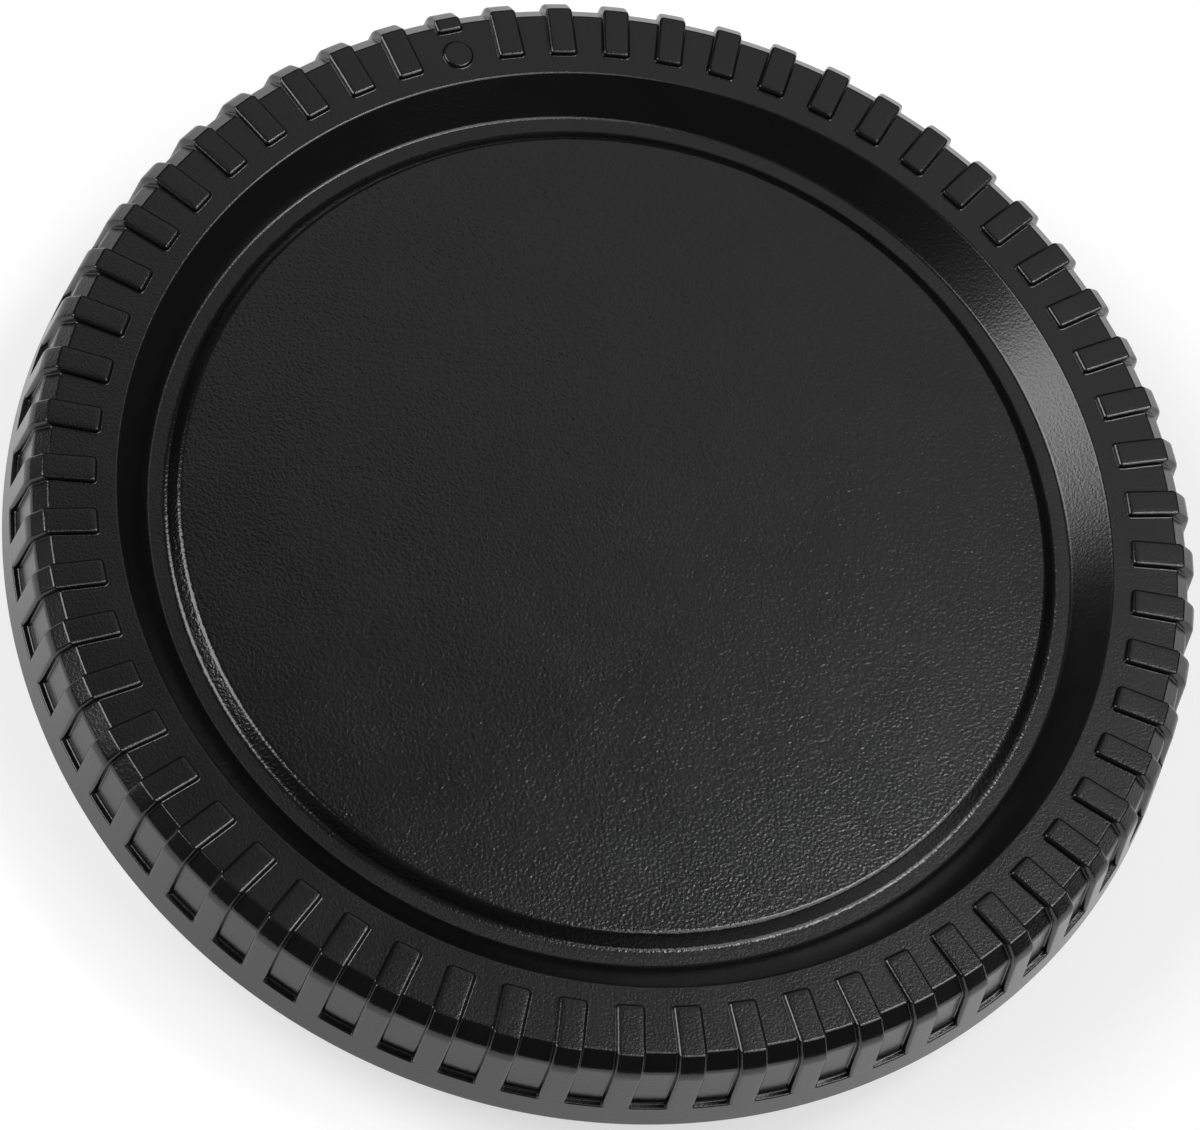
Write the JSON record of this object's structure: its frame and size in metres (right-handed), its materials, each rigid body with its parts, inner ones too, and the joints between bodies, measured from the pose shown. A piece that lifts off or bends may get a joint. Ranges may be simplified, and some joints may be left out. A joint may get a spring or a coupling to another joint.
{
  "type": "camera body cap",
  "caption": "Round moulded camera body cap: raised grained face disc with a bevelled edge, ribbed grip rim with a raised index dot, and a bayonet collar with lugs behind.",
  "frame": {"origin": "on the axis, at the free end of the bayonet collar that the cap stands on", "axes": "+Z out of the front face along the cap's axis, +Y towards the index dot"},
  "size_m": [0.066, 0.066, 0.0108],
  "materials": {
    "black_plastic": "moulded black ABS: satin ring and ribs, coarser spark-eroded grain on the face disc"
  },
  "bodies": {
    "root": {"body_cap": "black_plastic"}
  },
  "joints": []
}
